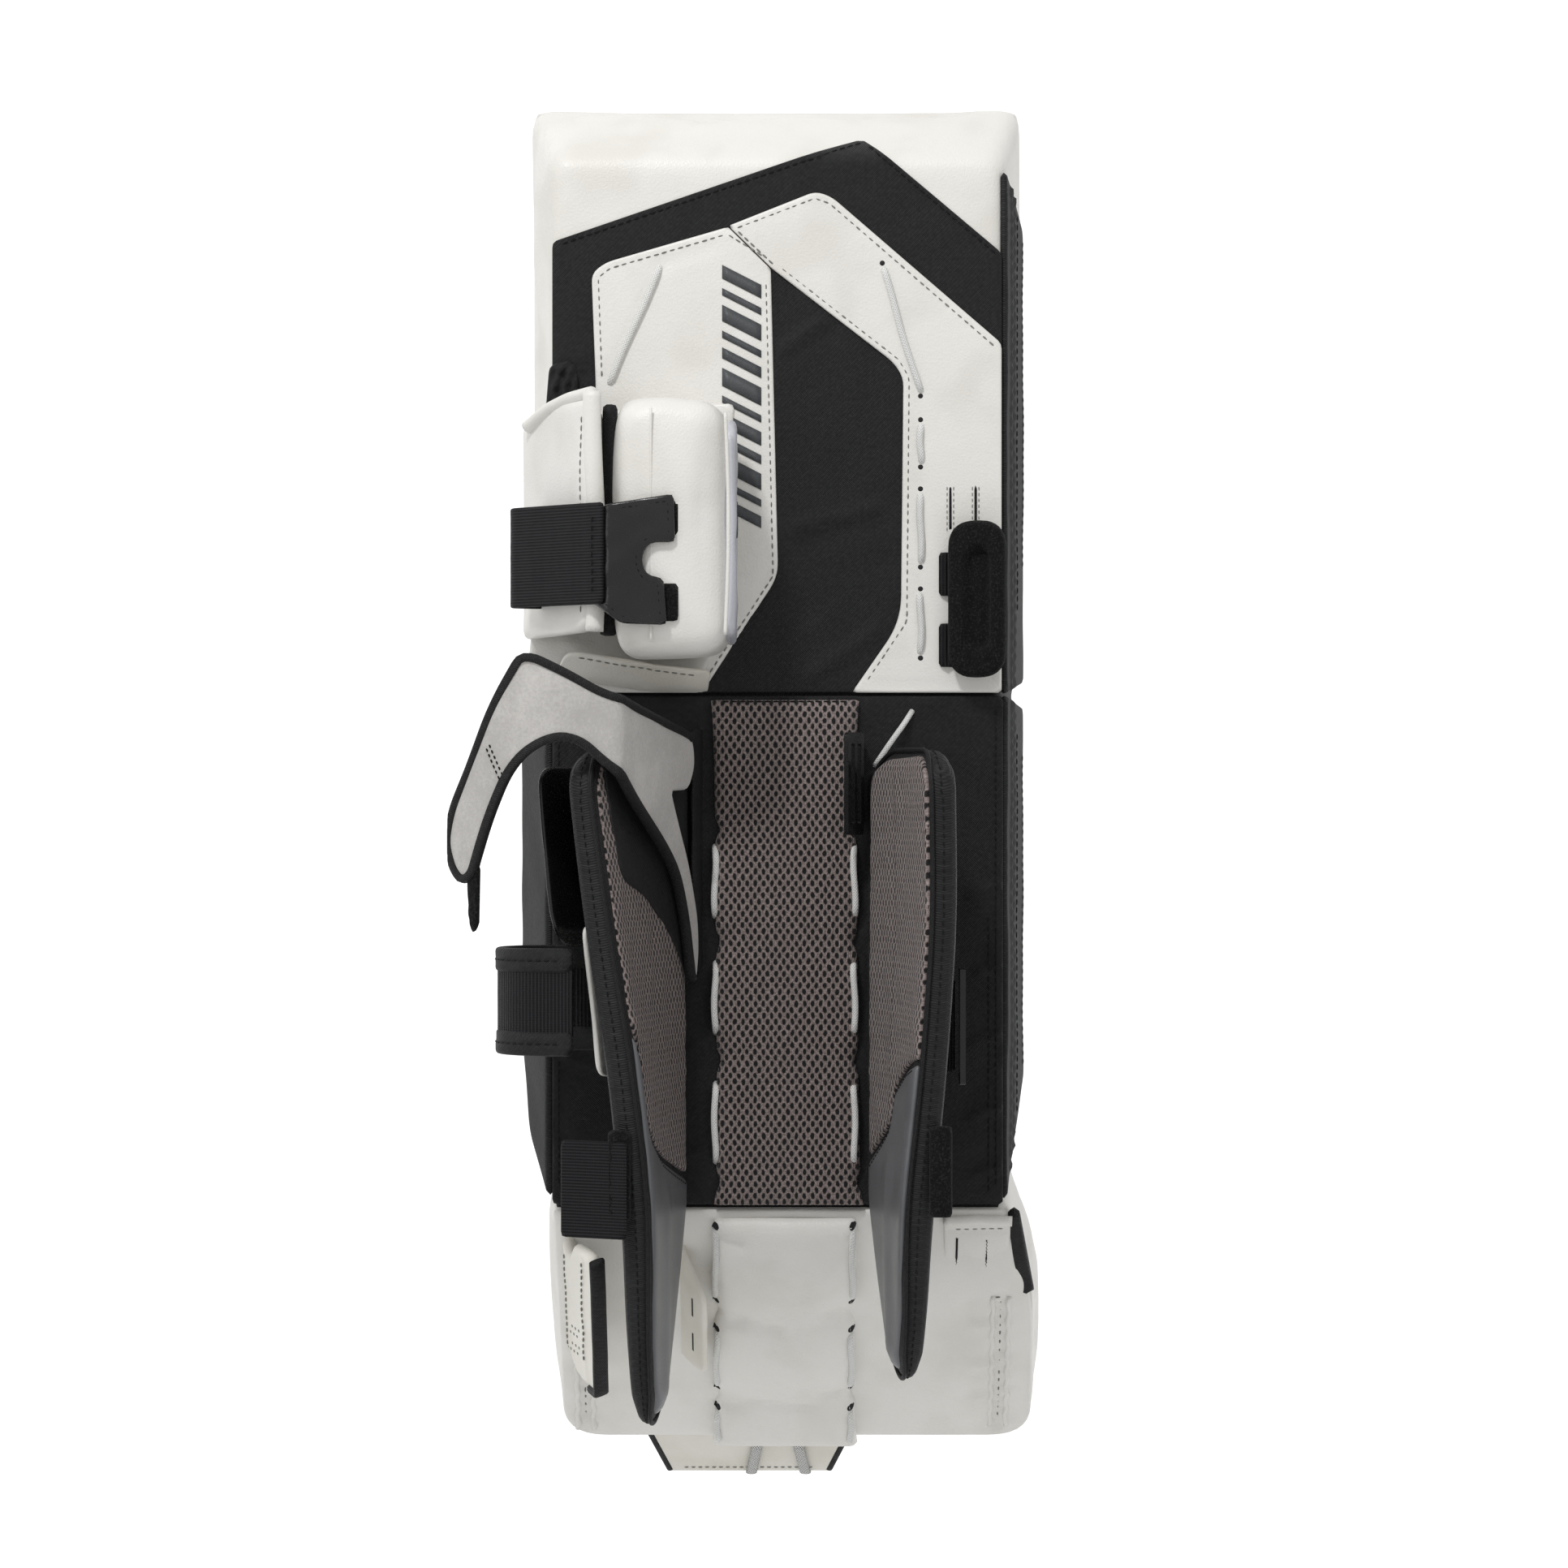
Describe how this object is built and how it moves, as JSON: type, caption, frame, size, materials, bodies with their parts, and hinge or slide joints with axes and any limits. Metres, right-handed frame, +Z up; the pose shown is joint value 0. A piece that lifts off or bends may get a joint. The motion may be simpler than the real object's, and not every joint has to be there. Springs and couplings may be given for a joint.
{
  "type": "goalie leg pad",
  "caption": "Goalie's padded ice hockey leg guard: foam thigh, shin and boot sections with a laced mesh shin cradle, calf wraps, knee block and strap tabs.",
  "frame": {"origin": "centre of the shin cradle's flat face, where the shin guard rests", "axes": "+Z up the shin, -Y towards the goalie's leg, +X to the outer side of a right leg"},
  "size_m": [0.3155, 0.2748, 0.7874],
  "materials": {
    "foam": "closed-cell foam",
    "stiffener": "smooth sheet",
    "white_leather": "fine grained synthetic leather",
    "black_nylon": "woven nylon twill",
    "black_leather": "smooth, slightly glossy",
    "grey_leather": "smooth synthetic leather",
    "mesh": "spacer mesh",
    "suede": "brushed suede",
    "white_lace": "braided cord",
    "webbing": "ribbed webbing",
    "hook_tape": "hook and loop pile",
    "plastic": "moulded"
  },
  "bodies": {
    "shin": {"shin_foam": "foam", "shin_stiffener": "stiffener", "shin_face": "white_leather", "shin_back_skin": "black_nylon", "shin_bed_foam": "foam", "shin_bed_mesh": "mesh", "shin_laces": "white_lace", "shin_knee_roll": "white_leather", "shin_outer_roll": "white_leather", "shin_gusset": "black_nylon", "buckle_webbing": "webbing"},
    "thigh": {"thigh_foam": "foam", "thigh_stiffener": "stiffener", "thigh_face": "white_leather", "thigh_back_skin": "white_leather", "thigh_nylon_panel": "black_nylon", "thigh_yoke_left": "white_leather", "thigh_yoke_right": "white_leather", "thigh_laces": "white_lace", "thigh_knee_rolls": "white_leather", "thigh_outer_roll": "white_leather", "thigh_gusset": "black_nylon", "strap_catch_webbing": "webbing"},
    "boot": {"boot_foam": "foam", "boot_face": "white_leather", "boot_back_skin": "white_leather", "boot_pad_foam": "foam", "boot_pad_cover": "white_leather", "boot_laces": "white_lace"},
    "toe_bridge": {"toe_bridge": "white_leather", "toe_lace": "white_lace"},
    "ankle_wing": {"ankle_wing": "white_leather"},
    "inner_tab": {"boot_tab_inner": "white_leather"},
    "outer_tab": {"boot_tab_outer": "white_leather"},
    "knee_cradle": {"knee_block_foam": "foam", "knee_block_cover": "white_leather", "knee_cradle_base": "black_nylon", "knee_wing": "white_leather"},
    "knee_strap": {"knee_strap_elastic": "webbing", "knee_strap_tab": "black_leather", "knee_strap_hooks": "hook_tape"},
    "strap_catch": {"strap_catch_pad": "hook_tape"},
    "left_wrap": {"left_wrap_foam": "foam", "left_wrap_cover": "black_nylon", "left_wrap_binding": "black_leather", "left_wrap_mesh": "mesh", "left_wrap_guard": "grey_leather", "left_wrap_flap": "black_leather", "knee_wrap_band": "suede"},
    "right_wrap": {"right_wrap_foam": "foam", "right_wrap_cover": "black_nylon", "right_wrap_binding": "black_leather", "right_wrap_mesh": "mesh", "right_wrap_guard": "grey_leather", "ring_webbing": "webbing"},
    "wrap_ring": {"wrap_ring": "plastic"},
    "knee_wrap": {"knee_wrap_flap": "suede"},
    "upper_calf_strap": {"upper_calf_strap": "webbing"},
    "lower_calf_strap": {"lower_calf_strap": "webbing"},
    "calf_buckle": {"calf_buckle": "plastic"}
  },
  "joints": [
    {"name": "thigh_flex", "type": "hinge", "parent": "shin", "child": "thigh", "pos_m": [0, 0.008, 0.14], "axis": [1, 0, 0], "range_deg": [-9, 5], "stiffness_Nm_per_rad": 60},
    {"name": "boot_flex", "type": "hinge", "parent": "shin", "child": "boot", "pos_m": [0, 0.008, -0.142], "axis": [1, 0, 0], "range_deg": [-8, 10], "stiffness_Nm_per_rad": 60},
    {"name": "toe_bridge_flex", "type": "hinge", "parent": "boot", "child": "toe_bridge", "pos_m": [0, 0.11583, -0.28021], "axis": [1, 0, 0], "range_deg": [-12, 8], "stiffness_Nm_per_rad": 0.5},
    {"name": "ankle_wing_swing", "type": "hinge", "parent": "boot", "child": "ankle_wing", "pos_m": [-0.12, 0.03922, -0.19348], "axis": [0, -0.5878, 0.809], "range_deg": [-25, 4], "stiffness_Nm_per_rad": 0.3},
    {"name": "inner_tab_swing", "type": "hinge", "parent": "boot", "child": "inner_tab", "pos_m": [-0.057, 0.04084, -0.1923], "axis": [0, -0.5878, 0.809], "range_deg": [-15, 15], "stiffness_Nm_per_rad": 0.1},
    {"name": "outer_tab_lift", "type": "hinge", "parent": "boot", "child": "outer_tab", "pos_m": [0.125, 0.02934, -0.17223], "axis": [0, -0.5878, 0.809], "range_deg": [0, 50], "stiffness_Nm_per_rad": 0.1},
    {"name": "knee_cradle_swing", "type": "hinge", "parent": "thigh", "child": "knee_cradle", "pos_m": [-0.126, 0.0044, 0.22], "axis": [0, 0, 1], "range_deg": [-25, 0], "stiffness_Nm_per_rad": 2},
    {"name": "knee_strap_open", "type": "hinge", "parent": "knee_cradle", "child": "knee_strap", "pos_m": [-0.131, -0.017, 0.213], "axis": [0, 0, 1], "range_deg": [-75, 0]},
    {"name": "strap_catch_peel", "type": "hinge", "parent": "thigh", "child": "strap_catch", "pos_m": [0.092, 0.0026, 0.192], "axis": [0, 0, 1], "range_deg": [-40, 8], "stiffness_Nm_per_rad": 0.1},
    {"name": "left_wrap_swing", "type": "hinge", "parent": "shin", "child": "left_wrap", "pos_m": [-0.062, -0.002, -0.05], "axis": [0, 0, 1], "range_deg": [-18, 12], "stiffness_Nm_per_rad": 2},
    {"name": "right_wrap_swing", "type": "hinge", "parent": "shin", "child": "right_wrap", "pos_m": [0.055, -0.002, -0.05], "axis": [0, 0, 1], "range_deg": [-12, 18], "stiffness_Nm_per_rad": 2},
    {"name": "wrap_ring_swing", "type": "hinge", "parent": "right_wrap", "child": "wrap_ring", "pos_m": [0.094, -0.045, -0.039], "axis": [0, 0, 1], "range_deg": [-20, 20]},
    {"name": "knee_wrap_swing", "type": "hinge", "parent": "left_wrap", "child": "knee_wrap", "pos_m": [-0.092, -0.104, 0.13], "axis": [0, 0, 1], "range_deg": [0, 60], "stiffness_Nm_per_rad": 0.2},
    {"name": "upper_calf_strap_swing", "type": "hinge", "parent": "left_wrap", "child": "upper_calf_strap", "pos_m": [-0.0836, -0.033, -0.025], "axis": [0, 0, 1], "range_deg": [-15, 3]},
    {"name": "lower_calf_strap_swing", "type": "hinge", "parent": "left_wrap", "child": "lower_calf_strap", "pos_m": [-0.082, -0.118, -0.121], "axis": [0, 0, 1], "range_deg": [0, 60]},
    {"name": "calf_buckle_swing", "type": "hinge", "parent": "shin", "child": "calf_buckle", "pos_m": [0.0426, -0.0036, 0.091], "axis": [0, 0, 1], "range_deg": [-15, 10]}
  ]
}
